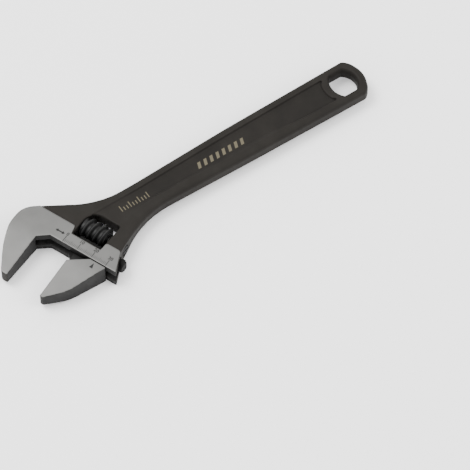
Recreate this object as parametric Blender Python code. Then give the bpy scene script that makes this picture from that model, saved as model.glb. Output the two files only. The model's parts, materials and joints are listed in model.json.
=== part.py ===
"""Adjustable wrench, 250 mm: forged body, sliding jaw, adjusting worm, worm pin and worm spring.

Plan coordinates of the handle are (x, y): x runs from the fixed jaw's tip to the hanging hole.
Plan coordinates of the head are (s, t): s runs along the opening, from the fixed jaw's face to
the moving jaw, and t runs from the slide edge towards the handle, so the jaws lie at t < 0.
All the sizes below are in millimetres, and z = 0 is the wrench's middle plane.
"""
import bpy
import bmesh
from math import atan2, ceil, cos, pi, radians, sin, sqrt, tan
from mathutils import Matrix, Vector

MM = 0.001

# Driving dimensions
LENGTH = 251.3            # plan origin, by the fixed jaw's tip, to the end of the handle
HEAD_THICKNESS = 14.6
HEAD_ANGLE = 22.5         # between the jaw faces and the handle
HEAD_ORIGIN = (31.8, 11.3)
JAW_TIP_THICKNESS = 8.6
JAW_DEPTH = 34.3          # slide edge to the fixed jaw's tip
TAPER_START = 5.0         # depth at which the jaws begin to thin
REST_OPENING = 23.7

NECK_THICKNESS = 9.8      # of the forging behind the worm
HANDLE_THICKNESS = 9.8
HANDLE_END_THICKNESS = 10.8
WAIST_HALF_WIDTH = 9.8
GRIP_HALF_WIDTH = 13.0
RIM_WIDTH = 4.5
PANEL_DEPTH = 1.0

SLIDE_T = 9.4             # axis of the round slide
SLIDE_RADIUS = 3.8
SLIDE_START = -3.7        # from the moving jaw's face
SLIDE_END = 28.4
WEB_THICKNESS = 4.8
RUNNING_GAP = 0.3

WORM_T = 19.0
WORM_RADIUS = 7.2
WORM_ROOT_RADIUS = 5.2
WORM_START = 16.8
WORM_LENGTH = 16.6
THREAD_PITCH = 4.1
THREAD_CREST = 1.3        # width at the outside
THREAD_BASE = 2.3         # width at the root
WINDOW_START = 16.2
WINDOW_END = 36.4
WINDOW_NEAR = 8.6
WINDOW_FAR = 28.6

PIN_RADIUS = 2.0
PIN_START = 11.5
PIN_END = 46.0
PIN_HEAD_RADIUS = 3.0
PIN_HEAD_LENGTH = 3.0
SPRING_RADIUS = 3.0       # coil centre line
SPRING_WIRE = 0.7
SPRING_TURNS = 5
SPRING_POCKET = 5.0       # depth of its pocket in the worm

HEAD_TURN = radians(HEAD_ANGLE - 90.0)


# Plan geometry

def head_point(s, t):
    """Turn a head point (s, t) into handle coordinates (x, y)."""
    x = HEAD_ORIGIN[0] + s * cos(HEAD_TURN) - t * sin(HEAD_TURN)
    y = HEAD_ORIGIN[1] + s * sin(HEAD_TURN) + t * cos(HEAD_TURN)
    return x, y


def head_corner(s, t, radius):
    return (*head_point(s, t), radius)


def round_corners(corners, step=radians(7.0)):
    """Outline of a polygon whose corners (x, y, radius) are rounded by tangent arcs."""
    points = []
    for i, (x, y, radius) in enumerate(corners):
        here = Vector((x, y))
        back = (Vector(corners[i - 1][:2]) - here).normalized()
        ahead = (Vector(corners[(i + 1) % len(corners)][:2]) - here).normalized()
        if radius == 0.0:
            points.append((x, y))
            continue
        half = back.angle(ahead) / 2
        centre = here + (back + ahead).normalized() * radius / sin(half)
        first = here + back * radius / tan(half) - centre
        sweep = pi - 2 * half
        if back.cross(ahead) > 0:
            sweep = -sweep
        count = max(2, ceil(abs(sweep) / step) + 1)
        for k in range(count):
            turned = Matrix.Rotation(sweep * k / (count - 1), 2) @ first
            points.append(tuple(centre + turned))
    return points


def arc(cx, cy, radius, start, end, count=9):
    angles = [start + (end - start) * k / (count - 1) for k in range(count)]
    return [(cx + radius * cos(a), cy + radius * sin(a)) for a in angles]


def body_outline():
    end_radius = 16.0
    centre_x = LENGTH - end_radius
    corners = [
        head_corner(0.0, -JAW_DEPTH, 0.5),
        head_corner(0.0, -5.2, 0.5),
        head_corner(6.5, 0.0, 0.5),
        head_corner(52.6, 0.0, 0.6),
        head_corner(46.8, 13.8, 5.0),
        (88.3, -10.3, 60.0),
        (160.0, -11.9, 300.0),
        (244.1, -GRIP_HALF_WIDTH, 1.2),
    ]
    end_corner = 0.88
    for x, y in arc(centre_x, 0.0, end_radius, -end_corner, end_corner):
        corners.append((x, y, 0.0))
    corners += [
        (244.1, GRIP_HALF_WIDTH, 1.2),
        (160.0, 11.9, 300.0),
        (96.0, WAIST_HALF_WIDTH, 90.0),
        (70.7, 9.6, 55.0),
        head_corner(-18.4, 6.9, 13.0),
        head_corner(-18.4, -6.5, 22.0),
        head_corner(-13.5, -19.3, 50.0),
        head_corner(-4.3, -JAW_DEPTH, 1.8),
    ]
    return round_corners(corners)


def jaw_outline():
    """Moving jaw, from its own face."""
    return round_corners([
        (0.0, -35.2, 0.5),
        (0.0, -8.2, 0.5),
        (11.2, -RUNNING_GAP, 0.5),
        (22.2, -RUNNING_GAP, 0.5),
        (12.4, -24.5, 28.0),
        (2.2, -35.4, 1.5),
    ])


def window_outline():
    return round_corners([
        (WINDOW_START, WINDOW_NEAR, 1.2),
        (WINDOW_END, WINDOW_NEAR, 1.2),
        (WINDOW_END, WINDOW_FAR, 2.5),
        (WINDOW_START, WINDOW_FAR, 2.5),
    ])


def hole_outline():
    """Hanging hole: two bowed ends joined by straight sides along the handle."""
    half_height = 8.8
    near = atan2(half_height, sqrt(12.4 ** 2 - half_height ** 2))
    far = atan2(half_height, sqrt(10.9 ** 2 - half_height ** 2))
    left = arc(241.2, 0.0, 12.4, pi - near, pi + near)
    right = arc(235.1, 0.0, 10.9, -far, far)
    return left + right


def panel_outline():
    """Recessed panel, from the worm window to a hollow arc around the hanging hole."""
    inset = RIM_WIDTH
    corners = [
        head_corner(17.5, WINDOW_FAR - 1.0, 0.0),
        head_corner(WINDOW_END, WINDOW_FAR - 1.0, 0.0),
        (80.0, -8.5, 30.0),
        (96.0, inset - WAIST_HALF_WIDTH, 60.0),
        (160.0, inset - 11.9, 0.0),
        (228.5, inset - 12.9, 0.8),
    ]
    for x, y in arc(239.0, 0.0, 15.0, pi + 0.4, pi - 0.4, 7):
        corners.append((x, y, 0.0))
    corners += [
        (228.5, 12.9 - inset, 0.8),
        (160.0, 11.9 - inset, 0.0),
        (96.0, WAIST_HALF_WIDTH - inset, 60.0),
    ]
    return round_corners(corners)


# Scene helpers

def new_collection(name, hidden=False):
    collection = bpy.data.collections.new(name)
    bpy.context.scene.collection.children.link(collection)
    collection.hide_render = hidden
    return collection


def new_empty(name, parent, location=(0.0, 0.0, 0.0), turn=0.0):
    empty = bpy.data.objects.new(name, None)
    empty.empty_display_size = 0.01
    empty.location = Vector(location) * MM
    empty.rotation_euler = (0.0, 0.0, turn)
    empty.parent = parent
    FRAMES.objects.link(empty)
    return empty


def add_object(name, mesh, parent, collection, location=(0.0, 0.0, 0.0), rotation=(0.0, 0.0, 0.0)):
    obj = bpy.data.objects.new(name, mesh)
    obj.parent = parent
    obj.location = Vector(location) * MM
    obj.rotation_euler = rotation
    collection.objects.link(obj)
    if collection is CUTTERS:
        obj.hide_render = True
        obj.display_type = "WIRE"
    return obj


def prism_mesh(name, outline, thickness):
    """Mesh of a flat outline, filled and extruded to both sides of its plane."""
    curve = bpy.data.curves.new(name, "CURVE")
    curve.dimensions = "2D"
    curve.fill_mode = "BOTH"
    curve.extrude = thickness * MM / 2
    spline = curve.splines.new("POLY")
    spline.points.add(len(outline) - 1)
    for point, (x, y) in zip(spline.points, outline):
        point.co = (x * MM, y * MM, 0.0, 1.0)
    spline.use_cyclic_u = True
    return welded_mesh(name, curve)


def welded_mesh(name, curve):
    holder = bpy.data.objects.new(name + "_curve", curve)
    bpy.context.scene.collection.objects.link(holder)
    evaluated = holder.evaluated_get(bpy.context.evaluated_depsgraph_get())
    mesh = bpy.data.meshes.new_from_object(evaluated)
    mesh.name = name
    bpy.data.objects.remove(holder)
    bpy.data.curves.remove(curve)
    bm = bmesh.new()
    bm.from_mesh(mesh)
    bmesh.ops.remove_doubles(bm, verts=bm.verts, dist=0.00001)
    bmesh.ops.recalc_face_normals(bm, faces=bm.faces)
    bm.to_mesh(mesh)
    bm.free()
    return mesh


def rod_mesh(name, radius, start, end, sides=32):
    """Round bar along local X."""
    length = (end - start) * MM
    bm = bmesh.new()
    bmesh.ops.create_cone(
        bm, cap_ends=True, segments=sides, depth=length,
        radius1=radius * MM, radius2=radius * MM,
    )
    bmesh.ops.rotate(bm, verts=bm.verts, matrix=Matrix.Rotation(pi / 2, 3, "Y"))
    bmesh.ops.translate(bm, verts=bm.verts, vec=(start * MM + length / 2, 0.0, 0.0))
    mesh = bpy.data.meshes.new(name)
    bm.to_mesh(mesh)
    bm.free()
    return mesh


def combine(target, other, operation):
    modifier = target.modifiers.new(f"{operation.lower()} {other.name}", "BOOLEAN")
    modifier.operation = operation
    modifier.object = other


def cut(target, *cutters):
    for cutter in cutters:
        combine(target, cutter, "DIFFERENCE")


def shade_round(mesh):
    mesh.shade_smooth()
    mesh.set_sharp_from_angle(angle=radians(35.0))


def finish(obj, color, roughness, metallic):
    material = bpy.data.materials.new(obj.name + "_finish")
    material.use_nodes = True
    shader = material.node_tree.nodes["Principled BSDF"]
    shader.inputs["Base Color"].default_value = (*color, 1.0)
    shader.inputs["Roughness"].default_value = roughness
    shader.inputs["Metallic"].default_value = metallic
    obj.data.materials.append(material)


# Sub-parts

def taper_cutters(name, parent):
    """Two wedges that thin the jaws towards their tips, on the top and on the bottom."""
    half = HEAD_THICKNESS / 2
    drop = (HEAD_THICKNESS - JAW_TIP_THICKNESS) / 2
    slope = drop / (JAW_DEPTH - TAPER_START)
    reach = JAW_DEPTH + 8.0
    low = half - slope * (reach - TAPER_START)
    outline = [(-TAPER_START, half), (-reach, low), (-reach, half + 3.0), (-TAPER_START, half + 3.0)]
    wedges = []
    for side in (1, -1):
        flipped = [(t, side * z) for t, z in outline]
        mesh = across_head(prism_mesh(f"{name}_{'top' if side > 0 else 'bottom'}", flipped, 140.0))
        wedges.append(add_object(mesh.name, mesh, parent, CUTTERS))
    return wedges


def across_head(mesh):
    """Turn a prism drawn in (t, z) so that its thickness runs along s."""
    mesh.transform(Matrix(((0, 0, 1, 0), (1, 0, 0, 0), (0, 1, 0, 0), (0, 0, 0, 1))))
    return mesh


def mirrored_profile(upper):
    return upper + [(x, -z) for x, z in reversed(upper)]


def side_profile(parent):
    """Side view of the forging: thick head, shoulder behind the worm and slim handle."""
    head = HEAD_THICKNESS / 2
    waist = HANDLE_THICKNESS / 2
    end = HANDLE_END_THICKNESS / 2
    outline = mirrored_profile([(-5.0, head), (58.0, head), (82.0, waist), (LENGTH + 5.0, end)])
    mesh = prism_mesh("side_profile", outline, 120.0)
    return add_object("side_profile", mesh, parent, CUTTERS, rotation=(pi / 2, 0.0, 0.0))


def neck_profile(parent):
    """View along the opening: the forging is thinner behind the ground faces of the head."""
    head = HEAD_THICKNESS / 2
    neck = NECK_THICKNESS / 2
    outline = mirrored_profile([
        (-60.0, head), (14.0, head), (14.8, head - 0.6), (WINDOW_FAR, neck), (260.0, neck),
    ])
    mesh = across_head(prism_mesh("neck_profile", outline, 400.0))
    return add_object("neck_profile", mesh, parent, CUTTERS)


def make_body(handle, head):
    body = add_object("body", prism_mesh("body", body_outline(), HEAD_THICKNESS), handle, PARTS)
    combine(body, side_profile(handle), "INTERSECT")
    combine(body, neck_profile(head), "INTERSECT")
    cut(body, *taper_cutters("fixed_taper", head))

    window = prism_mesh("worm_window", window_outline(), 30.0)
    cut(body, add_object("worm_window", window, head, CUTTERS))

    slide_bore = rod_mesh("slide_bore", SLIDE_RADIUS + RUNNING_GAP, SLIDE_START - 1.3, 70.0, 48)
    cut(body, add_object("slide_bore", slide_bore, head, CUTTERS, (0.0, SLIDE_T, 0.0)))

    web_slot = prism_mesh("web_slot", [
        (SLIDE_START - 0.6, SLIDE_T), (SLIDE_START - 0.6, -2.2), (0.6, -6.2), (0.6, -9.0),
        (3.0, -9.0), (7.0, -3.0), (70.0, -3.0), (70.0, SLIDE_T),
    ], WEB_THICKNESS + 2 * RUNNING_GAP)
    cut(body, add_object("web_slot", web_slot, head, CUTTERS))

    pin_hole = rod_mesh("pin_hole", PIN_RADIUS + RUNNING_GAP, PIN_START - 0.5, 60.0)
    cut(body, add_object("pin_hole", pin_hole, head, CUTTERS, (0.0, WORM_T, 0.0)))
    head_seat = rod_mesh(
        "pin_head_seat", PIN_HEAD_RADIUS + RUNNING_GAP, PIN_END - PIN_HEAD_LENGTH - RUNNING_GAP, 60.0,
    )
    cut(body, add_object("pin_head_seat", head_seat, head, CUTTERS, (0.0, WORM_T, 0.0)))

    hole = prism_mesh("hanging_hole", hole_outline(), 30.0)
    cut(body, add_object("hanging_hole", hole, handle, CUTTERS))

    waist = HANDLE_THICKNESS / 2
    panel = prism_mesh("panel", panel_outline(), 8.0)
    for name, side in (("panel_top", 1), ("panel_bottom", -1)):
        height = side * (waist - 0.1 - PANEL_DEPTH + 4.0)
        cut(body, add_object(name, panel, handle, CUTTERS, (0.0, 0.0, height)))
    shade_round(body.data)
    finish(body, (0.055, 0.052, 0.048), 0.45, 0.9)
    return body


def rack_groove_cutters(parent):
    """Grooves that the worm's thread runs in, leaned by the thread's lead angle."""
    lead = atan2(THREAD_PITCH, 2 * pi * (WORM_RADIUS - 0.7))
    clearance = RUNNING_GAP * 0.9
    bottom = WORM_T - WORM_RADIUS - RUNNING_GAP
    top = SLIDE_T + SLIDE_RADIUS + 1.0
    root = WORM_T - WORM_ROOT_RADIUS
    growth = (THREAD_BASE - THREAD_CREST) / 2 / (WORM_RADIUS - WORM_ROOT_RADIUS)
    narrow = THREAD_CREST / 2 + clearance - growth * RUNNING_GAP
    wide = THREAD_BASE / 2 + clearance + growth * (top - root)
    outline = [(-narrow, bottom), (narrow, bottom), (wide, top), (-wide, top)]
    first_crest = WORM_START + THREAD_PITCH / 2 - REST_OPENING
    grooves = []
    index = ceil((SLIDE_START - first_crest) / THREAD_PITCH)
    while first_crest + index * THREAD_PITCH < SLIDE_END:
        s = first_crest + index * THREAD_PITCH
        mesh = prism_mesh(f"rack_groove_{len(grooves) + 1}", outline, 12.0)
        groove = add_object(mesh.name, mesh, parent, CUTTERS, (s, 0.0, 0.0), (0.0, lead, 0.0))
        grooves.append(groove)
        index += 1
    return grooves


def make_jaw(slider):
    jaw = add_object("moving_jaw", prism_mesh("moving_jaw", jaw_outline(), HEAD_THICKNESS), slider, PARTS)
    cut(jaw, *taper_cutters("moving_taper", slider))
    web = prism_mesh("web", [
        (SLIDE_START, SLIDE_T), (SLIDE_START, -1.6), (1.2, -5.4), (1.2, -8.0),
        (20.0, -2.0), (21.0, SLIDE_T),
    ], WEB_THICKNESS)
    combine(jaw, add_object("web", web, slider, CUTTERS), "UNION")
    slide = rod_mesh("slide", SLIDE_RADIUS, SLIDE_START, SLIDE_END, 40)
    combine(jaw, add_object("slide", slide, slider, CUTTERS, (0.0, SLIDE_T, 0.0)), "UNION")
    cut(jaw, *rack_groove_cutters(slider))
    shade_round(jaw.data)
    finish(jaw, (0.33, 0.32, 0.31), 0.4, 0.9)
    return jaw


def worm_mesh():
    """Round core with a left-hand thread, as one grid of rings along local X."""
    sides = 36
    rings_per_turn = 12
    rings = ceil(WORM_LENGTH / THREAD_PITCH * rings_per_turn)
    end_fade = 1.6
    bm = bmesh.new()
    grid = []
    for i in range(rings + 1):
        along = WORM_LENGTH * i / rings
        ring = []
        for j in range(sides):
            angle = 2 * pi * j / sides
            phase = ((along - THREAD_PITCH / 2) / THREAD_PITCH - angle / (2 * pi)) % 1.0
            distance = min(phase, 1.0 - phase) * THREAD_PITCH
            rise = (THREAD_BASE / 2 - distance) / ((THREAD_BASE - THREAD_CREST) / 2)
            rise = min(1.0, max(0.0, rise))
            fade = min(1.0, (along + 0.8) / end_fade, (WORM_LENGTH - along + 0.8) / end_fade)
            radius = WORM_ROOT_RADIUS + (WORM_RADIUS - WORM_ROOT_RADIUS) * rise * fade
            # The angle is measured from the rack's side, turning over the top.
            ring.append(bm.verts.new((along * MM, -radius * cos(angle) * MM, radius * sin(angle) * MM)))
        grid.append(ring)
    for lower, upper in zip(grid, grid[1:]):
        for j in range(sides):
            k = (j + 1) % sides
            bm.faces.new((lower[j], lower[k], upper[k], upper[j]))
    bm.faces.new(grid[0])
    bm.faces.new(grid[-1][::-1])
    bmesh.ops.recalc_face_normals(bm, faces=bm.faces)
    mesh = bpy.data.meshes.new("worm")
    bm.to_mesh(mesh)
    bm.free()
    return mesh


def make_worm(axle):
    worm = add_object("worm", worm_mesh(), axle, PARTS)
    bore = rod_mesh("worm_bore", PIN_RADIUS + 0.2, -2.0, WORM_LENGTH + 2.0)
    cut(worm, add_object("worm_bore", bore, axle, CUTTERS))
    pocket = rod_mesh(
        "spring_pocket", SPRING_RADIUS + SPRING_WIRE, WORM_LENGTH - SPRING_POCKET, WORM_LENGTH + 2.0,
    )
    cut(worm, add_object("spring_pocket", pocket, axle, CUTTERS))
    shade_round(worm.data)
    finish(worm, (0.02, 0.02, 0.02), 0.4, 0.8)
    return worm


def make_pin(head):
    pin = add_object("worm_pin", rod_mesh("worm_pin", PIN_RADIUS, PIN_START, PIN_END - 1.0), head,
                     PARTS, (0.0, WORM_T, 0.0))
    cap = rod_mesh("pin_head", PIN_HEAD_RADIUS, PIN_END - PIN_HEAD_LENGTH, PIN_END)
    combine(pin, add_object("pin_head", cap, head, CUTTERS, (0.0, WORM_T, 0.0)), "UNION")
    slot = prism_mesh("driver_slot", [(-0.5, -5.0), (0.5, -5.0), (0.5, 5.0), (-0.5, 5.0)], 2.4)
    slot_turn = (0.0, pi / 2, 0.0)
    cut(pin, add_object("driver_slot", slot, head, CUTTERS, (PIN_END, WORM_T, 0.0), slot_turn))
    shade_round(pin.data)
    finish(pin, (0.16, 0.155, 0.15), 0.4, 0.9)
    return pin


def make_spring(head):
    """Compression spring around the pin, from its pocket in the worm to the window's far wall."""
    steps = 14
    start = WORM_START + WORM_LENGTH - SPRING_POCKET + SPRING_WIRE
    end = WINDOW_END - SPRING_WIRE
    curve = bpy.data.curves.new("worm_spring", "CURVE")
    curve.dimensions = "3D"
    curve.bevel_depth = SPRING_WIRE * MM / 2
    curve.bevel_resolution = 2
    curve.use_fill_caps = True
    spline = curve.splines.new("POLY")
    count = SPRING_TURNS * steps
    spline.points.add(count)
    for i, point in enumerate(spline.points):
        angle = 2 * pi * i / steps
        along = start + (end - start) * i / count
        point.co = (along * MM, SPRING_RADIUS * cos(angle) * MM, SPRING_RADIUS * sin(angle) * MM, 1.0)
    mesh = welded_mesh("worm_spring", curve)
    spring = add_object("worm_spring", mesh, head, PARTS, (0.0, WORM_T, 0.0))
    shade_round(mesh)
    finish(spring, (0.4, 0.4, 0.4), 0.3, 1.0)
    return spring


def settle(root, parts):
    """Stand the wrench on z = 0 with the middle of its box over the origin."""
    depsgraph = bpy.context.evaluated_depsgraph_get()
    low = Vector((1e9, 1e9, 1e9))
    high = -low
    for part in parts:
        evaluated = part.evaluated_get(depsgraph)
        for vertex in evaluated.data.vertices:
            place = evaluated.matrix_world @ vertex.co
            low = Vector(map(min, low, place))
            high = Vector(map(max, high, place))
    root.location = (-(low.x + high.x) / 2, -(low.y + high.y) / 2, -low.z)


for leftover in list(bpy.data.objects):
    bpy.data.objects.remove(leftover)
PARTS = new_collection("adjustable_wrench")
CUTTERS = new_collection("cutters", hidden=True)
FRAMES = new_collection("frames")

wrench = new_empty("wrench_frame", None)
head_frame = new_empty("head_frame", wrench, (*HEAD_ORIGIN, 0.0), HEAD_TURN)
jaw_slide = new_empty("jaw_slide", head_frame, (REST_OPENING, 0.0, 0.0))
worm_axle = new_empty("worm_axle", head_frame, (WORM_START, WORM_T, 0.0))

pieces = [
    make_body(wrench, head_frame),
    make_jaw(jaw_slide),
    make_worm(worm_axle),
    make_pin(head_frame),
    make_spring(head_frame),
]
bpy.context.view_layer.update()
settle(wrench, pieces)
bpy.context.view_layer.update()
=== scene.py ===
import json
from math import atan2, ceil, cos, pi, radians, sin, tan

import bpy
import numpy as np
from mathutils import Matrix, Vector


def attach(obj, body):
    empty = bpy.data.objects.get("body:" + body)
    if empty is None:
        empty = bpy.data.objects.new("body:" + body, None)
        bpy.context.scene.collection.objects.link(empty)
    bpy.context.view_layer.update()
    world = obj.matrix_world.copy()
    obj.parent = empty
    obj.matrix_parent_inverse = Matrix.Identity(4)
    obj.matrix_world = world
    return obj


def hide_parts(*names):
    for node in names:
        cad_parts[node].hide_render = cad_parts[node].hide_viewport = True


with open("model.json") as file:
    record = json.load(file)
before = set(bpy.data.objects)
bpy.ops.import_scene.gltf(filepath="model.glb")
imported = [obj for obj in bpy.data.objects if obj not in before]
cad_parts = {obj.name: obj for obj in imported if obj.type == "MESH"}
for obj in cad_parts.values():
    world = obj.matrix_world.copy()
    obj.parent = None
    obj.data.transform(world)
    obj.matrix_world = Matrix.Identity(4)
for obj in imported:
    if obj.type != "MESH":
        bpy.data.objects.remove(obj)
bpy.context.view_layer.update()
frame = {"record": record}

# The frame: the head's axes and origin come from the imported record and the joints.
# Plan coordinates (x, y) follow the handle; head coordinates (s, t) follow the opening.
# All the modelling below is in millimetres, with z = 0 on the wrench's middle plane.
MM = 0.001
MOUNTS = {mount["name"]: mount for mount in frame["record"]["mounts"]}
JOINTS = {joint["name"]: joint for joint in frame["record"]["behaviour"]["joints"]}
OPENING_AXIS = Vector(JOINTS["jaw_slide"]["axis"]).normalized()
HEAD_TURN = atan2(OPENING_AXIS.y, OPENING_AXIS.x)
FIXED_FACE = Vector(MOUNTS["fixed_jaw_face"]["pos_m"]) / MM
MOVING_FACE = Vector(MOUNTS["moving_jaw_face"]["pos_m"]) / MM
FACE_DEPTH = 20.0         # the fixed face's mount lies this far down the jaw
TOWARDS_HANDLE = Vector((0.0, 0.0, 1.0)).cross(OPENING_AXIS)
HEAD_WORLD = FIXED_FACE + TOWARDS_HANDLE * FACE_DEPTH
HEAD_ORIGIN = Vector((31.8, 11.3, 0.0))
PLAN_WORLD = HEAD_WORLD - HEAD_ORIGIN
REST_OPENING = (MOVING_FACE - FIXED_FACE).dot(OPENING_AXIS)

# Driving dimensions
LENGTH = 251.3
LAND_HALF = 7.25
NECK_HALF = 4.9
WAIST_HALF = 4.9
END_HALF = 5.4
JAW_DEPTH = 34.3
TAPER_START = 5.0
TAPER_SLOPE = 2.7 / (JAW_DEPTH - TAPER_START)
GRIP_HALF_WIDTH = 13.0
WAIST_HALF_WIDTH = 9.8
RIM_WIDTH = 4.5
PANEL_HALF = 3.8
SLIDE_T = 9.4
SLIDE_RADIUS = 3.8
SLIDE_START = -3.7
SLIDE_END = 28.4
WEB_HALF = 2.4
RUNNING_GAP = 0.3
WORM_T = 19.0
WORM_RADIUS = 7.2
WORM_ROOT_RADIUS = 5.2
WORM_START = 16.8
WORM_LENGTH = 16.6
THREAD_PITCH = 4.1
THREAD_CREST = 1.3
THREAD_BASE = 2.3
RIDGE_REACH = 1.4
WINDOW_START = 16.2
WINDOW_END = 36.4
WINDOW_NEAR = 8.6
WINDOW_FAR = 28.6
PIN_RADIUS = 2.0
PIN_START = 11.5
PIN_END = 46.0
PIN_HEAD_RADIUS = 3.0
PIN_HEAD_LENGTH = 3.0
SPRING_RADIUS = 3.0
SPRING_WIRE = 0.7
SPRING_TURNS = 5
SPRING_POCKET = 5.0

# Edges: the forging's all round, what the handle's have more, the hole's, and the machined ones
EDGE_INSET = 0.08
EDGE_SWELL = 0.55
FORGED_EDGE = 0.45
HANDLE_EDGE = 2.15
HOLE_EDGE = 1.4
HOLE_INSET = 0.9
HOLE_FLARE = 0.8
SLIDE_EDGE = 0.35
PIN_EDGE = 0.3
TURNED_EDGE = 0.4

# Finish: how far below its flat a face still counts as ground, and the size of the surface cells
GROUND_REACH = 0.24
BODY_CELL = 0.5
JAW_CELL = 0.4
PIN_CELL = 0.22


# Plan geometry

def head_to_plan(s, t):
    x = HEAD_ORIGIN.x + s * cos(HEAD_TURN) - t * sin(HEAD_TURN)
    y = HEAD_ORIGIN.y + s * sin(HEAD_TURN) + t * cos(HEAD_TURN)
    return x, y


def plan_to_head(x, y):
    x = x - HEAD_ORIGIN.x
    y = y - HEAD_ORIGIN.y
    return x * cos(HEAD_TURN) + y * sin(HEAD_TURN), y * cos(HEAD_TURN) - x * sin(HEAD_TURN)


def head_corner(s, t, radius):
    return (*head_to_plan(s, t), radius)


def round_corners(corners, step=radians(6.0)):
    """Outline of a polygon whose corners (x, y, radius) are rounded by tangent arcs."""
    points = []
    for i, (x, y, radius) in enumerate(corners):
        here = Vector((x, y))
        back = (Vector(corners[i - 1][:2]) - here).normalized()
        ahead = (Vector(corners[(i + 1) % len(corners)][:2]) - here).normalized()
        if radius == 0.0:
            points.append((x, y))
            continue
        half = back.angle(ahead) / 2
        centre = here + (back + ahead).normalized() * radius / sin(half)
        first = here + back * radius / tan(half) - centre
        sweep = pi - 2 * half
        if back.cross(ahead) > 0:
            sweep = -sweep
        count = max(3, ceil(abs(sweep) / step) + 1)
        for k in range(count):
            points.append(tuple(centre + Matrix.Rotation(sweep * k / (count - 1), 2) @ first))
    return points


def arc(cx, cy, radius, start, end, count=15):
    angles = [start + (end - start) * k / (count - 1) for k in range(count)]
    return [(cx + radius * cos(a), cy + radius * sin(a)) for a in angles]


def handle_end_arc():
    radius = 16.0
    return [(x, y, 0.0) for x, y in arc(LENGTH - radius, 0.0, radius, -0.88, 0.88)]


BODY_OUTLINE = round_corners([
    head_corner(0.0, -JAW_DEPTH, 0.6),
    head_corner(0.0, -5.2, 0.6),
    head_corner(6.5, 0.0, 0.8),
    head_corner(52.6, 0.0, 0.6),
    head_corner(46.8, 13.8, 5.0),
    (88.3, -10.3, 60.0),
    (160.0, -11.9, 300.0),
    (244.1, -GRIP_HALF_WIDTH, 1.2),
    *handle_end_arc(),
    (244.1, GRIP_HALF_WIDTH, 1.2),
    (160.0, 11.9, 300.0),
    (96.0, WAIST_HALF_WIDTH, 90.0),
    (70.7, 9.6, 55.0),
    head_corner(-18.4, 6.9, 13.0),
    head_corner(-18.4, -6.5, 22.0),
    head_corner(-13.5, -19.3, 50.0),
    head_corner(-4.3, -JAW_DEPTH, 3.2),
])
LAND_OUTLINE = round_corners([
    (-40.0, 13.6, 0.0), (14.9, 13.6, 1.6), (16.2, 8.0, 0.0), (36.2, 8.0, 0.0),
    (36.6, 13.7, 1.8), (46.7, 13.8, 2.2), (56.0, -8.0, 0.0), (56.0, -60.0, 0.0),
    (-40.0, -60.0, 0.0),
])
WINDOW_INSIDE, WINDOW_MOUTH = [round_corners([
    (WINDOW_START, WINDOW_NEAR, 1.2), (WINDOW_END, WINDOW_NEAR, 1.2),
    (WINDOW_END, WINDOW_FAR, 1.5), (WINDOW_START, WINDOW_FAR, far_radius),
]) for far_radius in (4.8, 8.5)]
HOLE_OUTLINE = round_corners(
    [(x, y, 0.0) for x, y in arc(241.2, 0.0, 12.4, pi - 0.70, pi + 0.70)]
    + [(232.4, -8.8, 1.2), (241.4, -8.8, 1.2)]
    + [(x, y, 0.0) for x, y in arc(235.1, 0.0, 10.9, -0.84, 0.84)]
    + [(241.4, 8.8, 1.2), (232.4, 8.8, 1.2)]
)
PANEL_OUTLINE = round_corners([
    head_corner(17.5, WINDOW_FAR - 3.0, 0.0),
    head_corner(WINDOW_END, WINDOW_FAR - 3.0, 0.0),
    (80.0, -8.5, 30.0),
    (96.0, RIM_WIDTH - WAIST_HALF_WIDTH, 60.0),
    (160.0, RIM_WIDTH - 11.9, 0.0),
    (228.5, RIM_WIDTH - 12.9, 0.8),
    *[(x, y, 0.0) for x, y in arc(239.0, 0.0, 15.0, pi + 0.4, pi - 0.4, 9)],
    (228.5, 12.9 - RIM_WIDTH, 0.8),
    (160.0, 11.9 - RIM_WIDTH, 0.0),
    (96.0, WAIST_HALF_WIDTH - RIM_WIDTH, 60.0),
])
BODY_SLOT = [
    (SLIDE_START - 0.6, SLIDE_T), (SLIDE_START - 0.6, -2.2), (0.6, -6.2), (0.6, -9.0),
    (3.0, -9.0), (7.0, -3.0), (70.0, -3.0), (70.0, SLIDE_T),
]
JAW_OUTLINE = round_corners([
    (0.0, -35.2, 0.5), (0.0, -8.2, 0.6), (11.2, -RUNNING_GAP - 0.05, 0.6),
    (22.2, -RUNNING_GAP - 0.05, 0.5), (12.4, -24.5, 28.0), (2.2, -35.4, 1.5),
])
JAW_WEB = [
    (SLIDE_START, SLIDE_T), (SLIDE_START, -1.6), (1.2, -5.4), (1.2, -8.0),
    (20.0, -2.0), (21.0, SLIDE_T),
]


# Solids as distance-like fields, negative inside

def outline_distance(x, y, outline, reach=6.0):
    """Signed distance to a closed outline; points further than reach from its box are only bounded."""
    x, y = np.broadcast_arrays(x, y)
    corners = np.array(outline)
    low = corners.min(axis=0) - reach
    high = corners.max(axis=0) + reach
    near = (x > low[0]) & (x < high[0]) & (y > low[1]) & (y < high[1])
    result = np.full(x.shape, reach)
    px = x[near]
    py = y[near]
    best = np.full(px.shape, 1e9)
    inside = np.zeros(px.shape, bool)
    for (ax, ay), (bx, by) in zip(corners, np.roll(corners, -1, axis=0)):
        ex = bx - ax
        ey = by - ay
        wx = px - ax
        wy = py - ay
        along = np.clip((wx * ex + wy * ey) / (ex * ex + ey * ey + 1e-12), 0.0, 1.0)
        best = np.minimum(best, (wx - along * ex) ** 2 + (wy - along * ey) ** 2)
        if ay != by:
            crosses = (ay > py) != (by > py)
            inside ^= crosses & (wx < ex * wy / ey)
    result[near] = np.sqrt(best) * np.where(inside, -1.0, 1.0)
    return result


def both(a, b, radius):
    """Intersection of two fields, its edge rounded to the radius."""
    over = np.hypot(np.maximum(a + radius, 0.0), np.maximum(b + radius, 0.0))
    return np.minimum(np.maximum(a, b), -radius) + over


def minus(a, b, radius):
    return both(a, -b, radius)


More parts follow.
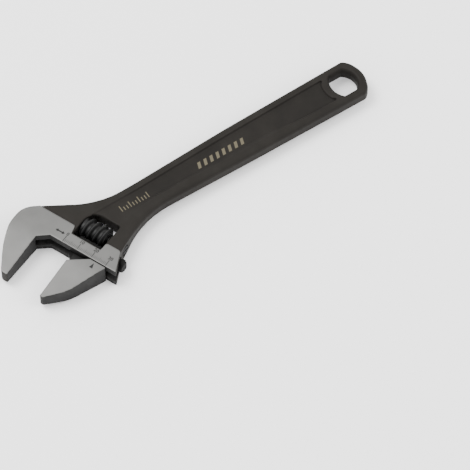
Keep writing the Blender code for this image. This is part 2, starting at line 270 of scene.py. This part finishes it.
def either(a, b, radius):
    """Union of two fields, its inner corner filled to the radius."""
    return -both(-a, -b, radius)


def soft_min(a, b, width):
    blend = np.clip(0.5 + (b - a) / (2 * width), 0.0, 1.0)
    return b + (a - b) * blend - width * blend * (1.0 - blend)


def ramp(value, start, end):
    k = np.clip((value - start) / (end - start), 0.0, 1.0)
    return k * k * (3.0 - 2.0 * k)


def jaw_taper(t):
    """Half thickness that the jaws thin down to towards their tips."""
    return LAND_HALF + TAPER_SLOPE * (t + TAPER_START)


def jaw_top(s, t):
    return soft_min(jaw_taper(t), LAND_HALF, 0.4)


def body_half_thickness(x, y, s, t):
    """Half the thickness: ground land on the head, slim handle and its sunk panel."""
    neck = np.interp(t, [14.0, WINDOW_FAR], [6.75, NECK_HALF])
    handle = np.interp(x, [60.0, 82.0, LENGTH], [6.9, WAIST_HALF, END_HALF])
    forged = soft_min(neck, handle, 0.8)
    ground = np.clip(0.5 - outline_distance(s, t, LAND_OUTLINE) / 0.45, 0.0, 1.0)
    half = forged + (LAND_HALF - forged) * ground
    half = soft_min(half, jaw_taper(t), 0.4)
    panel = outline_distance(x, y, PANEL_OUTLINE)
    floor = PANEL_HALF + 0.6 * (1.0 - ramp(x, 68.0, 100.0))
    soft_side = 0.45 + 3.2 * ramp(-y, 2.0, 5.5) * ramp(215.0 - x, 0.0, 40.0)
    return half - np.maximum(half - floor, 0.0) * ramp(-panel, -0.25, soft_side)


def body_field(x, y, z):
    s, t = plan_to_head(x, y)
    up = np.abs(z)
    on_handle = ramp(x, 62.0, 82.0)
    swell = EDGE_SWELL * on_handle * ramp(LENGTH - 0.8 - x, 0.0, 3.5)
    edge = outline_distance(x, y, BODY_OUTLINE, reach=20.0) + EDGE_INSET - swell
    solid = both(edge, up - body_half_thickness(x, y, s, t), FORGED_EDGE + HANDLE_EDGE * on_handle)
    window = outline_distance(s, t, WINDOW_INSIDE)
    window = window + (outline_distance(s, t, WINDOW_MOUTH) - window) * ramp(up, 2.2, 4.7)
    solid = minus(solid, window, FORGED_EDGE + 1.2 * ramp(t, 14.5, 18.0) * ramp(30.0 - s, 0.0, 6.0))
    flare = HOLE_FLARE * ramp(up, 1.0, END_HALF) - HOLE_INSET
    solid = minus(solid, outline_distance(x, y, HOLE_OUTLINE) - flare, HOLE_EDGE)
    bore = np.maximum(np.hypot(t - SLIDE_T, z) - SLIDE_RADIUS - RUNNING_GAP, SLIDE_START - 1.3 - s)
    solid = minus(solid, bore, SLIDE_EDGE)
    slot = np.maximum(outline_distance(s, t, BODY_SLOT), up - WEB_HALF - RUNNING_GAP)
    solid = minus(solid, slot, SLIDE_EDGE)
    off_pin = np.hypot(t - WORM_T, z)
    hole = np.maximum(off_pin - PIN_RADIUS - RUNNING_GAP, PIN_START - 0.5 - s)
    seat_start = PIN_END - PIN_HEAD_LENGTH - RUNNING_GAP
    seat = np.maximum(off_pin - PIN_HEAD_RADIUS - RUNNING_GAP, seat_start - s)
    return minus(solid, np.minimum(hole, seat), PIN_EDGE)


def jaw_field(s, t, z):
    """Moving jaw, with s from its own face."""
    up = np.abs(z)
    half = jaw_top(s, t)
    blade = both(outline_distance(s, t, JAW_OUTLINE), up - half, FORGED_EDGE)
    web = np.maximum(outline_distance(s, t, JAW_WEB), up - WEB_HALF)
    ends = np.maximum(SLIDE_START - s, s - SLIDE_END)
    slide = both(np.hypot(t - SLIDE_T, z) - SLIDE_RADIUS, ends, 0.6)
    solid = either(either(blade, web, 0.5), slide, 0.6)
    lead = THREAD_PITCH / (2 * pi * (WORM_RADIUS - 0.7))
    first_crest = WORM_START + THREAD_PITCH / 2 - REST_OPENING
    offset = s - first_crest - z * lead
    offset = offset - THREAD_PITCH * np.round(offset / THREAD_PITCH)
    bottom = WORM_T - WORM_RADIUS - RUNNING_GAP
    growth = (THREAD_BASE - THREAD_CREST) / 2 / (WORM_RADIUS - WORM_ROOT_RADIUS)
    half_width = THREAD_CREST / 2 + RUNNING_GAP + growth * (t - bottom)
    groove = both(np.abs(offset) - half_width, bottom - t, 0.25)
    return minus(solid, groove, 0.2)


def pin_field(s, t, z):
    away = np.hypot(t, z)
    shaft = both(away - PIN_RADIUS, np.maximum(PIN_START - s, s - PIN_END + 1.0), TURNED_EDGE)
    head_start = PIN_END - PIN_HEAD_LENGTH
    cap = both(away - PIN_HEAD_RADIUS, np.maximum(head_start - s, s - PIN_END), TURNED_EDGE)
    slot = np.maximum(np.abs(z) - 0.5, PIN_END - 1.2 - s)
    return minus(np.minimum(shaft, cap), slot, 0.15)


# Dual contouring

def field_slopes(field, points, step=0.02):
    columns = []
    for axis in range(3):
        offset = np.zeros(3)
        offset[axis] = step
        columns.append(field(*(points + offset).T) - field(*(points - offset).T))
    slopes = np.stack(columns, axis=1)
    return slopes / np.maximum(np.linalg.norm(slopes, axis=1, keepdims=True), 1e-12)


def edge_crossings(field, values, grid, axis, cell):
    """Where the surface crosses the grid lines that run along one axis."""
    first = np.take(values, range(values.shape[axis] - 1), axis)
    second = np.take(values, range(1, values.shape[axis]), axis)
    index = np.argwhere((first < 0.0) != (second < 0.0))
    start = np.stack([grid[k][index[:, k]] for k in range(3)], axis=1)
    direction = np.zeros(3)
    direction[axis] = cell
    low = np.zeros(len(index))
    high = np.ones(len(index))
    low_value = first[tuple(index.T)]
    high_value = second[tuple(index.T)]
    for _ in range(3):
        middle = low + (high - low) * np.clip(low_value / (low_value - high_value), 0.05, 0.95)
        value = field(*(start + middle[:, None] * direction).T)
        same = (value < 0.0) == (low_value < 0.0)
        low = np.where(same, middle, low)
        low_value = np.where(same, value, low_value)
        high = np.where(same, high, middle)
        high_value = np.where(same, high_value, value)
    at = low + (high - low) * low_value / (low_value - high_value)
    return index, start + at[:, None] * direction, first[tuple(index.T)] < 0.0


def contour(field, low, high, cell):
    """Dual-contour the surface where the field is zero: vertices, their normals and quads."""
    low = np.array(low)
    grid = [low[k] + cell * np.arange(ceil((high[k] - low[k]) / cell) + 1) for k in range(3)]
    values = field(grid[0][:, None, None], grid[1][None, :, None], grid[2][None, None, :])
    shape = np.array(values.shape)
    owners, points, slopes, quads = [], [], [], []
    for axis in range(3):
        index, crossing, starts_inside = edge_crossings(field, values, grid, axis, cell)
        slope = field_slopes(field, crossing)
        across = [(axis + 1) % 3, (axis + 2) % 3]
        corners = []
        for back_one, back_two in ((0, 0), (1, 0), (1, 1), (0, 1)):
            owner = index.copy()
            owner[:, across[0]] -= back_one
            owner[:, across[1]] -= back_two
            corners.append(np.ravel_multi_index(tuple(owner.T), tuple(shape)))
            owners.append(corners[-1])
            points.append(crossing)
            slopes.append(slope)
        quad = np.stack(corners, axis=1)
        quads.append(np.where(starts_inside[:, None], quad, quad[:, ::-1]))
    cells, slot = np.unique(np.concatenate(owners), return_inverse=True)
    points = np.concatenate(points)
    slopes = np.concatenate(slopes)
    count = np.bincount(slot)
    centre = np.stack([np.bincount(slot, points[:, k]) / count for k in range(3)], axis=1)
    offset = np.einsum("ij,ij->i", slopes, points - centre[slot])
    matrix = np.empty((len(cells), 3, 3))
    right = np.empty((len(cells), 3))
    for i in range(3):
        right[:, i] = np.bincount(slot, slopes[:, i] * offset)
        for j in range(3):
            matrix[:, i, j] = np.bincount(slot, slopes[:, i] * slopes[:, j])
    pull = 0.03 * count[:, None, None] * np.eye(3)
    shift = np.linalg.solve(matrix + pull, right[:, :, None])[:, :, 0]
    corner = low + cell * np.stack(np.unravel_index(cells, tuple(shape)), axis=1)
    vertices = np.clip(centre + shift, corner, corner + cell)
    return vertices, field_slopes(field, vertices, 0.08), np.searchsorted(cells, np.concatenate(quads))


# Meshes and placing

def mesh_from_arrays(name, vertices, faces):
    mesh = bpy.data.meshes.new(name)
    mesh.vertices.add(len(vertices))
    mesh.vertices.foreach_set("co", np.asarray(vertices, np.float32).ravel())
    mesh.loops.add(faces.size)
    mesh.loops.foreach_set("vertex_index", faces.astype(np.int32).ravel())
    mesh.polygons.add(len(faces))
    mesh.polygons.foreach_set("loop_start", np.arange(0, faces.size, faces.shape[1], dtype=np.int32))
    mesh.update(calc_edges=True)
    mesh.validate()
    return mesh


def contoured_mesh(name, field, low, high, cell):
    vertices, normals, quads = contour(field, low, high, cell)
    mesh = mesh_from_arrays(name, vertices, quads)
    mesh.shade_smooth()
    mesh.normals_split_custom_set_from_vertices([tuple(n) for n in normals])
    return mesh


def place_plan(name, mesh, body, lift=0.0):
    """Object whose mesh is in plan millimetres."""
    piece = bpy.data.objects.new(name, mesh)
    bpy.context.scene.collection.objects.link(piece)
    mesh.transform(Matrix.Translation((PLAN_WORLD + Vector((0.0, 0.0, lift))) * MM) @ Matrix.Scale(MM, 4))
    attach(piece, body)
    return piece


def place_head(name, mesh, body, s=0.0, t=0.0, lift=0.0):
    """Object whose mesh is in head millimetres from the point (s, t)."""
    piece = bpy.data.objects.new(name, mesh)
    bpy.context.scene.collection.objects.link(piece)
    turn = Matrix.Rotation(HEAD_TURN, 4, "Z")
    place = Matrix.Translation(HEAD_WORLD * MM) @ turn
    place = place @ Matrix.Translation(Vector((s, t, lift)) * MM) @ Matrix.Scale(MM, 4)
    mesh.transform(place)
    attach(piece, body)
    return piece


def assign_faces(mesh, materials, chooser):
    """Give each face the material whose number the chooser says for its centre and normal."""
    for material in materials:
        mesh.materials.append(material)
    count = len(mesh.polygons)
    centres = np.empty(count * 3)
    normals = np.empty(count * 3)
    mesh.polygons.foreach_get("center", centres)
    mesh.polygons.foreach_get("normal", normals)
    chosen = chooser(centres.reshape(-1, 3), normals.reshape(-1, 3))
    mesh.polygons.foreach_set("material_index", chosen.astype(np.int32))


# Materials

class Shader:
    """A Principled material with short helpers for its nodes."""

    def __init__(self, name, roughness=0.4, metallic=0.0, specular=0.5):
        self.material = bpy.data.materials.new(name)
        self.material.use_nodes = True
        self.tree = self.material.node_tree
        self.surface = self.tree.nodes["Principled BSDF"]
        self.surface.inputs["Roughness"].default_value = roughness
        self.surface.inputs["Metallic"].default_value = metallic
        self.surface.inputs["Specular IOR Level"].default_value = specular
        self.position = self.node("ShaderNodeTexCoord").outputs["Object"]

    def node(self, kind, **settings):
        node = self.tree.nodes.new(kind)
        for key, value in settings.items():
            setattr(node, key, value)
        return node

    def link(self, source, target):
        self.tree.links.new(source, target)

    def stretched(self, scale, turn=0.0):
        mapping = self.node("ShaderNodeMapping")
        mapping.vector_type = "POINT"
        mapping.inputs["Scale"].default_value = scale
        turned = self.node("ShaderNodeVectorRotate", rotation_type="Z_AXIS")
        turned.inputs["Angle"].default_value = turn
        self.link(self.position, turned.inputs["Vector"])
        self.link(turned.outputs["Vector"], mapping.inputs["Vector"])
        return mapping.outputs["Vector"]

    def noise(self, scale, detail=4.0, rough=0.6, vector=None):
        noise = self.node("ShaderNodeTexNoise")
        noise.inputs["Scale"].default_value = scale
        noise.inputs["Detail"].default_value = detail
        noise.inputs["Roughness"].default_value = rough
        self.link(vector or self.position, noise.inputs["Vector"])
        return noise.outputs["Fac"]

    def remap(self, source, low, high, to_low, to_high):
        remap = self.node("ShaderNodeMapRange")
        remap.inputs["From Min"].default_value = low
        remap.inputs["From Max"].default_value = high
        remap.inputs["To Min"].default_value = to_low
        remap.inputs["To Max"].default_value = to_high
        self.link(source, remap.inputs["Value"])
        return remap.outputs["Result"]

    def mix(self, factor, first, second):
        mix = self.node("ShaderNodeMix", data_type="RGBA")
        self.link(factor, mix.inputs["Factor"])
        for socket, value in (("A", first), ("B", second)):
            target = [i for i in mix.inputs if i.name == socket and i.type == "RGBA"][0]
            if hasattr(value, "links"):
                self.link(value, target)
            else:
                target.default_value = (*value, 1.0)
        return [o for o in mix.outputs if o.type == "RGBA"][0]

    def colour(self, source, reach=0.004, depth=0.25):
        """Base colour with painted shade, darker in the creases that the ambient occlusion finds."""
        crease = self.node("ShaderNodeAmbientOcclusion", samples=8)
        crease.inputs["Distance"].default_value = reach
        shade = self.remap(crease.outputs["AO"], 0.25, 0.85, depth, 1.0)
        scale = self.node("ShaderNodeVectorMath", operation="SCALE")
        self.link(source, scale.inputs[0])
        self.link(shade, scale.inputs["Scale"])
        self.link(scale.outputs["Vector"], self.surface.inputs["Base Color"])

    def math(self, operation, first, second=0.0):
        node = self.node("ShaderNodeMath", operation=operation)
        for target, value in zip(node.inputs, (first, second)):
            if hasattr(value, "links"):
                self.link(value, target)
            else:
                target.default_value = value
        return node.outputs["Value"]

    def sunk_shade(self, dark):
        """One on raised and upright faces, down to dark on the flat floor of the handle's panel."""
        place = self.node("ShaderNodeSeparateXYZ")
        self.link(self.position, place.inputs["Vector"])
        height = self.math("ABSOLUTE", self.math("SUBTRACT", place.outputs["Z"], PLAN_WORLD.z * MM))
        facing = self.node("ShaderNodeSeparateXYZ")
        self.link(self.node("ShaderNodeNewGeometry").outputs["Normal"], facing.inputs["Vector"])
        upright = self.remap(self.math("ABSOLUTE", facing.outputs["Z"]), 0.6, 0.9, 1.0, 0.0)
        raised = self.remap(height, PANEL_HALF * MM, (PANEL_HALF + 1.2) * MM, dark, 1.0)
        return self.math("MAXIMUM", raised, upright)

    def bump(self, source, strength, distance):
        bump = self.node("ShaderNodeBump")
        bump.inputs["Strength"].default_value = strength
        bump.inputs["Distance"].default_value = distance
        self.link(source, bump.inputs["Height"])
        previous = self.surface.inputs["Normal"].links
        if previous:
            self.link(previous[0].from_socket, bump.inputs["Normal"])
        self.link(bump.outputs["Normal"], self.surface.inputs["Normal"])


def ground_steel():
    """Satin faces, ground with fine straight scratches along the opening."""
    shader = Shader("ground_steel", metallic=0.85)
    fine = shader.noise(1.0, 3.0, 0.7, shader.stretched((900.0, 14000.0, 900.0), -HEAD_TURN))
    cloud = shader.noise(90.0, 3.0, 0.5)
    clouded = shader.remap(cloud, 0.3, 0.7, 0.0, 1.0)
    base = shader.mix(clouded, (0.098, 0.097, 0.094), (0.116, 0.115, 0.111))
    colour = shader.mix(shader.remap(fine, 0.35, 0.65, 0.0, 0.35), base, (0.133, 0.133, 0.129))
    shader.colour(colour)
    shader.link(shader.remap(fine, 0.3, 0.7, 0.42, 0.54), shader.surface.inputs["Roughness"])
    shader.bump(fine, 0.12, 0.00002)
    return shader.material


def gun_metal(name, dark, light, roughness):
    """Dark phosphated forging: fine scale grain and clouds, with painted shade on the sunk floor of the
    handle's panel and in the creases.
    """
    shader = Shader(name, metallic=0.12, specular=0.06)
    grain = shader.noise(2600.0, 3.0, 0.6)
    cloud = shader.noise(60.0, 4.0, 0.6)
    forged = shader.noise(240.0, 3.0, 0.5)
    base = shader.mix(shader.remap(cloud, 0.3, 0.7, 0.0, 1.0), dark, light)
    # Painted shade: the base colour is scaled down on the flat floor of the handle's sunk panel.
    panel = shader.node("ShaderNodeVectorMath", operation="SCALE")
    shader.link(base, panel.inputs[0])
    shader.link(shader.sunk_shade(0.84), panel.inputs["Scale"])
    shader.colour(panel.outputs["Vector"])
    shader.link(shader.remap(grain, 0.3, 0.7, roughness - 0.05, roughness + 0.07),
                shader.surface.inputs["Roughness"])
    shader.bump(grain, 0.25, 0.00003)
    shader.bump(forged, 0.20, 0.0001)
    return shader.material


def milled_steel():
    """Inner faces of the jaws: darker, with fine cutter lines across them."""
    shader = Shader("milled_steel", metallic=0.08, specular=0.04)
    lines = shader.noise(1.0, 3.0, 0.65, shader.stretched((420.0, 420.0, 5000.0)))
    lined = shader.remap(lines, 0.35, 0.65, 0.0, 1.0)
    shader.colour(shader.mix(lined, (0.013, 0.0128, 0.0126), (0.024, 0.0237, 0.0234)))
    shader.link(shader.remap(lines, 0.3, 0.7, 0.42, 0.56), shader.surface.inputs["Roughness"])
    shader.bump(lines, 0.2, 0.00004)
    return shader.material


def simple_metal(name, first, second, roughness, scale=700.0, metallic=0.8, specular=0.5):
    """Fine-grained metal in two close tones, for the small parts and the marks."""
    shader = Shader(name, metallic=metallic, specular=specular)
    grain = shader.noise(scale, 4.0, 0.6)
    colour = shader.mix(shader.remap(grain, 0.3, 0.7, 0.0, 1.0), first, second)
    shader.colour(colour)
    shader.link(shader.remap(grain, 0.3, 0.7, roughness - 0.05, roughness + 0.05),
                shader.surface.inputs["Roughness"])
    shader.bump(grain, 0.15, 0.00003)
    return shader.material


GROUND = ground_steel()
GUN_METAL = gun_metal("gun_metal", (0.0122, 0.0111, 0.0098), (0.0170, 0.0155, 0.0137), 0.52)
MILLED = milled_steel()
JAW_SIDE = gun_metal("jaw_side", (0.009, 0.009, 0.0088), (0.023, 0.0228, 0.0225), 0.5)
BLACK_OXIDE = simple_metal("black_oxide", (0.011, 0.011, 0.0108), (0.020, 0.020, 0.0196), 0.52,
                           metallic=0.6, specular=0.35)
# Near-black steel of the slide, also put on the pin's seat in the body as painted shade.
SLIDE_STEEL_AND_SEAT_SHADE = simple_metal("slide_steel_and_seat_shade", (0.004, 0.004, 0.0039), (0.012, 0.0118, 0.0115), 0.55,
                           metallic=0.08, specular=0.04)
PIN_STEEL = simple_metal("pin_steel", (0.004, 0.004, 0.0039), (0.010, 0.0098, 0.0096), 0.5,
                         metallic=0.3, specular=0.1)
SPRING_STEEL = simple_metal("spring_steel", (0.020, 0.020, 0.0195), (0.035, 0.035, 0.034), 0.4, 1500.0)
PALE_GOLD = simple_metal("pale_gold_etch", (0.084, 0.074, 0.049), (0.110, 0.097, 0.066), 0.55, 2500.0)
ETCH = simple_metal("dark_etch", (0.010, 0.010, 0.0098), (0.018, 0.018, 0.0175), 0.6, 2500.0)
DARK_MARK = simple_metal("black_mark", (0.012, 0.012, 0.012), (0.02, 0.02, 0.02), 0.6, 2500.0)


# Pieces

def body_faces(centres, normals):
    """0 gun metal, 1 ground land, 2 milled jaw face and slide channel, 3 the pin's seat in near-black
    steel as painted shade around the pin's head.
    """
    s, t = plan_to_head(centres[:, 0], centres[:, 1])
    land = outline_distance(s, t, LAND_OUTLINE, reach=60.0)
    limit = np.minimum(LAND_HALF, jaw_taper(t)) - GROUND_REACH
    flat = (np.abs(normals[:, 2]) > 0.62) & (np.abs(centres[:, 2]) > limit) & (land < 0.0)
    inner = (s > -0.35) & (s < 53.0) & (t > 0.6 - JAW_DEPTH) & (t < 0.6)
    inner &= np.abs(normals[:, 2]) < 0.6
    channel = (s > -6.0) & (s < 52.0) & (t > -7.0) & (t < 14.0)
    channel &= np.abs(centres[:, 2]) < SLIDE_RADIUS + 0.2
    edge = outline_distance(centres[:, 0], centres[:, 1], BODY_OUTLINE, reach=20.0)
    buried = channel & (edge < -0.5)
    # Painted shade: the seat and the gap around the pin's head get the near-black slide steel.
    pin_reach = PIN_HEAD_RADIUS + RUNNING_GAP + 0.4
    pin_seat_shade = (s > 40.0) & (np.hypot(t - WORM_T, centres[:, 2]) < pin_reach)
    return np.where(flat, 1, np.where(pin_seat_shade, 3, np.where(inner | buried, 2, 0)))


def make_body():
    mesh = contoured_mesh("body_forging", body_field, (-3.0, -38.5, -8.0), (253.0, 31.5, 8.0), BODY_CELL)
    assign_faces(mesh, [GUN_METAL, GROUND, MILLED, SLIDE_STEEL_AND_SEAT_SHADE], body_faces)
    piece = place_plan("body_forging", mesh, "body")
    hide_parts("body")
    return piece


def jaw_faces(centres, normals):
    """0 outer side, 1 ground land, 2 milled faces and web, 3 black slide with its rack."""
    s, t, up = centres[:, 0], centres[:, 1], np.abs(centres[:, 2])
    limit = np.minimum(LAND_HALF, jaw_taper(t)) - GROUND_REACH
    flat = (np.abs(normals[:, 2]) > 0.62) & (up > limit)
    web = (up < WEB_HALF + 0.6) & (normals[:, 1] > 0.1)
    slide = (t > -RUNNING_GAP) | (s < -0.3) | web
    inner = (normals[:, 0] < -0.5) | ((t > -1.0) & (up < 6.5))
    return np.where(slide, 3, np.where(flat, 1, np.where(inner, 2, 0)))


def make_jaw():
    mesh = contoured_mesh("sliding_jaw", jaw_field, (-5.0, -37.0, -8.0), (30.0, 14.5, 8.0), JAW_CELL)
    assign_faces(mesh, [JAW_SIDE, GROUND, MILLED, SLIDE_STEEL_AND_SEAT_SHADE], jaw_faces)
    piece = place_head("sliding_jaw", mesh, "jaw", s=REST_OPENING)
    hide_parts("moving_jaw")
    return piece


def make_pin():
    mesh = contoured_mesh("worm_axle_pin", pin_field, (11.0, -3.6, -3.6), (46.6, 3.6, 3.6), PIN_CELL)
    mesh.materials.append(PIN_STEEL)
    piece = place_head("worm_axle_pin", mesh, "body", t=WORM_T)
    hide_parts("worm_pin")
    return piece


def thread_radius(along, angle):
    """Outer radius of the worm: rounded left-hand ridges that fade at both ends."""
    phase = ((along - THREAD_PITCH / 2) / THREAD_PITCH - angle / (2 * pi)) % 1.0
    distance = min(phase, 1.0 - phase) * THREAD_PITCH
    rise = 0.5 + 0.5 * cos(pi * min(1.0, distance / RIDGE_REACH))
    rise = rise ** 0.75
    fade = min(1.0, (along + 0.5) / 1.3, (WORM_LENGTH - along + 0.5) / 1.3)
    return WORM_ROOT_RADIUS + (WORM_RADIUS - WORM_ROOT_RADIUS) * rise * fade


def make_worm():
    """Closed grid: the threaded outside, then the end, the spring pocket, the bore and the other end."""
    sides = 96
    rings = 110
    bore = PIN_RADIUS + 0.2
    pocket = SPRING_RADIUS + SPRING_WIRE
    inside = [
        (WORM_LENGTH, pocket + 0.2), (WORM_LENGTH - 0.2, pocket), (WORM_LENGTH - SPRING_POCKET, pocket),
        (WORM_LENGTH - SPRING_POCKET, bore), (0.2, bore), (0.0, bore + 0.2),
    ]
    vertices = []
    for i in range(rings + 1):
        along = WORM_LENGTH * i / rings
        for j in range(sides):
            angle = 2 * pi * j / sides
            radius = thread_radius(along, angle)
            vertices.append((along, -radius * cos(angle), radius * sin(angle)))
    for along, radius in inside:
        for j in range(sides):
            angle = 2 * pi * j / sides
            vertices.append((along, -radius * cos(angle), radius * sin(angle)))
    loops = rings + 1 + len(inside)
    faces = []
    for i in range(loops):
        for j in range(sides):
            k = (j + 1) % sides
            m = (i + 1) % loops
            faces.append((i * sides + j, i * sides + k, m * sides + k, m * sides + j))
    mesh = mesh_from_arrays("adjusting_worm", np.array(vertices), np.array(faces))
    mesh.shade_smooth()
    mesh.set_sharp_from_angle(angle=radians(50.0))
    mesh.materials.append(BLACK_OXIDE)
    piece = place_head("adjusting_worm", mesh, "worm", s=WORM_START, t=WORM_T)
    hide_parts("worm")
    return piece


def make_spring():
    """Compression spring around the pin, with closed end turns."""
    steps = 28
    start = WORM_START + WORM_LENGTH - SPRING_POCKET + SPRING_WIRE
    end = WINDOW_END - SPRING_WIRE
    sides = 12
    count = SPRING_TURNS * steps
    vertices = []
    for i in range(count + 1):
        angle = 2 * pi * i / steps
        along = start + (end - start) * i / count
        for j in range(sides):
            around = 2 * pi * j / sides
            radius = SPRING_RADIUS + SPRING_WIRE / 2 * cos(around)
            place = along + SPRING_WIRE / 2 * sin(around)
            vertices.append((place, radius * cos(angle), radius * sin(angle)))
    faces = []
    for i in range(count):
        for j in range(sides):
            k = (j + 1) % sides
            faces.append((i * sides + j, (i + 1) * sides + j, (i + 1) * sides + k, i * sides + k))
    faces.append(tuple(range(sides)))
    faces.append(tuple(count * sides + j for j in reversed(range(sides))))
    mesh = bpy.data.meshes.new("play_spring")
    mesh.from_pydata(vertices, [], faces)
    mesh.shade_smooth()
    mesh.set_sharp_from_angle(angle=radians(50.0))
    mesh.materials.append(SPRING_STEEL)
    piece = place_head("play_spring", mesh, "body", t=WORM_T)
    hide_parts("worm_spring")
    return piece


# Marks

SCALE_ZERO = 14.8
SCALE_LENGTH = 30


def outline_mesh(name, outlines):
    """Thin plate with one or more closed outlines, z = -1 underneath and +1 on top."""
    curve = bpy.data.curves.new(name, "CURVE")
    curve.dimensions = "2D"
    curve.fill_mode = "BOTH"
    curve.extrude = 1.0
    for outline in outlines:
        spline = curve.splines.new("POLY")
        spline.points.add(len(outline) - 1)
        for point, (x, y) in zip(spline.points, outline):
            point.co = (x, y, 0.0, 1.0)
        spline.use_cyclic_u = True
    return curve_to_mesh(name, curve)


def number_mesh(text, height):
    curve = bpy.data.curves.new("scale_number", "FONT")
    curve.body = text
    curve.size = height * 1.4
    curve.align_x = "CENTER"
    curve.align_y = "CENTER"
    curve.resolution_u = 3
    curve.extrude = 1.0
    curve.offset = 0.07
    return curve_to_mesh("scale_number", curve)


def curve_to_mesh(name, curve):
    holder = bpy.data.objects.new(name + "_curve", curve)
    bpy.context.scene.collection.objects.link(holder)
    bpy.context.view_layer.update()
    evaluated = holder.evaluated_get(bpy.context.evaluated_depsgraph_get())
    mesh = bpy.data.meshes.new_from_object(evaluated)
    mesh.name = name
    bpy.data.objects.remove(holder)
    bpy.data.curves.remove(curve)
    mesh.materials.clear()
    return mesh


def press_onto(mesh, surface):
    """Lay a thin plate on a surface height, its top 0.02 mm proud."""
    for vertex in mesh.vertices:
        height = float(surface(vertex.co.x, vertex.co.y))
        vertex.co.z = height + 0.02 if vertex.co.z > 0.0 else height - 0.08


def bar(x, y, width, height, slant=0.0):
    """Corners of an upright bar, leaned by the slant, from its lower left corner."""
    return [(x, y), (x + width, y), (x + width + slant, y + height), (x + slant, y + height)]


def body_top(s, t):
    x, y = head_to_plan(np.float64(s), np.float64(t))
    return body_half_thickness(x, y, np.float64(s), np.float64(t))


def handle_top(x, y):
    s, t = plan_to_head(np.float64(x), np.float64(y))
    return body_half_thickness(np.float64(x), np.float64(y), s, t)


def lay_mark(place, name, mesh, surface, material, body, slot, **where):
    """Press a thin plate onto a surface and let it ride on that piece's body."""
    press_onto(mesh, surface)
    mesh.materials.append(material)
    place(name, mesh, body, **where)


def make_scale():
    """Millimetre scale along the slide edge: long, middle and short ticks."""
    ticks = []
    for k in range(SCALE_LENGTH + 1):
        reach, width = (4.2, 0.4) if k % 10 == 0 else (2.9, 0.2) if k % 5 == 0 else (2.2, 0.18)
        ticks.append(bar(SCALE_ZERO + k - width / 2, 0.6, width, reach))
    mesh = outline_mesh("scale_ticks", ticks)
    lay_mark(place_head, "scale_ticks", mesh, body_top, ETCH, "body", "forged_body")
    for value in range(0, SCALE_LENGTH + 1, 10):
        mesh = number_mesh(str(value), 2.2)
        mesh.transform(Matrix.Translation((SCALE_ZERO + value, 6.1, 0.0)))
        lay_mark(place_head, f"scale_number_{value}", mesh, body_top, ETCH, "body", "forged_body")


def make_span_symbol():
    """Double arrow beside the scale, for the direction that it measures in."""
    middle, level, half = 9.9, 5.4, 3.1
    barb = half - 1.6
    upper = [(half, 0.0), (barb, 1.15), (barb, 0.4), (-barb, 0.4), (-barb, 1.15), (-half, 0.0)]
    lower = [(-x, -y) for x, y in upper[1:-1]]
    mesh = outline_mesh("span_symbol", [[(middle + x, level + y) for x, y in upper + lower]])
    lay_mark(place_head, "span_symbol", mesh, body_top, ETCH, "body", "forged_body")


def make_pointer():
    """Triangle on the sliding jaw that points at the opening on the scale."""
    tip, foot, half = -1.5, -5.2, 1.15
    triangle = [(SCALE_ZERO, tip), (SCALE_ZERO - half, foot), (SCALE_ZERO + half, foot)]
    mesh = outline_mesh("scale_pointer", [triangle])
    lay_mark(place_head, "scale_pointer", mesh, jaw_top, DARK_MARK, "jaw", "sliding_jaw", s=REST_OPENING)


def make_handle_marks():
    """Pale etched patterns in the panel: a row of rule marks and a row of leaning bars."""
    rule = [bar(78.6 + 2.05 * k, -3.0, 0.6, 4.2 if k % 3 == 0 else 2.6) for k in range(10)]
    leaning = [bar(132.0 + 4.3 * k, -3.0, 2.0, 4.2, 1.5) for k in range(8)]
    for name, outlines in (("rule_marks", rule), ("leaning_bars", leaning)):
        mesh = outline_mesh(name, outlines)
        lay_mark(place_plan, name, mesh, handle_top, PALE_GOLD, "body", "forged_body")


# Studio

def make_floor():
    mesh = bpy.data.meshes.new("studio_floor")
    half = 6.0
    corners = [(-half, -half, 0.0), (half, -half, 0.0), (half, half, 0.0), (-half, half, 0.0)]
    mesh.from_pydata(corners, [], [(0, 1, 2, 3)])
    floor = bpy.data.objects.new("studio_floor", mesh)
    floor.location.z = -0.0002
    bpy.context.scene.collection.objects.link(floor)
    shader = Shader("pale_floor", roughness=0.85, specular=0.2)
    shader.surface.inputs["Base Color"].default_value = (0.96, 0.96, 0.96, 1.0)
    mesh.materials.append(shader.material)
    return floor


def add_area_light(name, place, size, power):
    data = bpy.data.lights.new(name, "AREA")
    data.shape = "DISK"
    data.size = size
    data.energy = power
    light = bpy.data.objects.new(name, data)
    light.location = place
    light.rotation_euler = (-Vector(place)).to_track_quat("-Z", "Y").to_euler()
    bpy.context.scene.collection.objects.link(light)


def make_lights():
    world = bpy.data.worlds.new("studio")
    world.use_nodes = True
    background = world.node_tree.nodes["Background"]
    background.inputs["Color"].default_value = (1.0, 1.0, 1.0, 1.0)
    background.inputs["Strength"].default_value = 2.0
    bpy.context.scene.world = world
    add_area_light("key_light", (-0.5, 0.6, 1.5), 0.9, 30.0)
    add_area_light("fill_light", (0.9, -0.9, 1.1), 1.0, 14.0)


def make_camera():
    """Long lens, turned 34 degrees from the handle and looking down at 58 degrees."""
    azimuth = radians(-34.0)
    elevation = radians(58.0)
    distance = 2.0
    aim = (PLAN_WORLD + Vector((125.4, -50.6, 0.0))) * MM
    back = Vector((sin(azimuth) * cos(elevation), -cos(azimuth) * cos(elevation), sin(elevation)))
    data = bpy.data.cameras.new("photo_camera")
    data.lens = 264.1
    data.sensor_width = 36.0
    camera = bpy.data.objects.new("photo_camera", data)
    camera.location = aim + back * distance
    camera.rotation_euler = back.to_track_quat("Z", "Y").to_euler()
    bpy.context.scene.collection.objects.link(camera)
    bpy.context.scene.camera = camera


make_camera()
make_lights()
make_floor()
make_body()
make_jaw()
make_worm()
make_pin()
make_spring()
make_scale()
make_span_symbol()
make_pointer()
make_handle_marks()
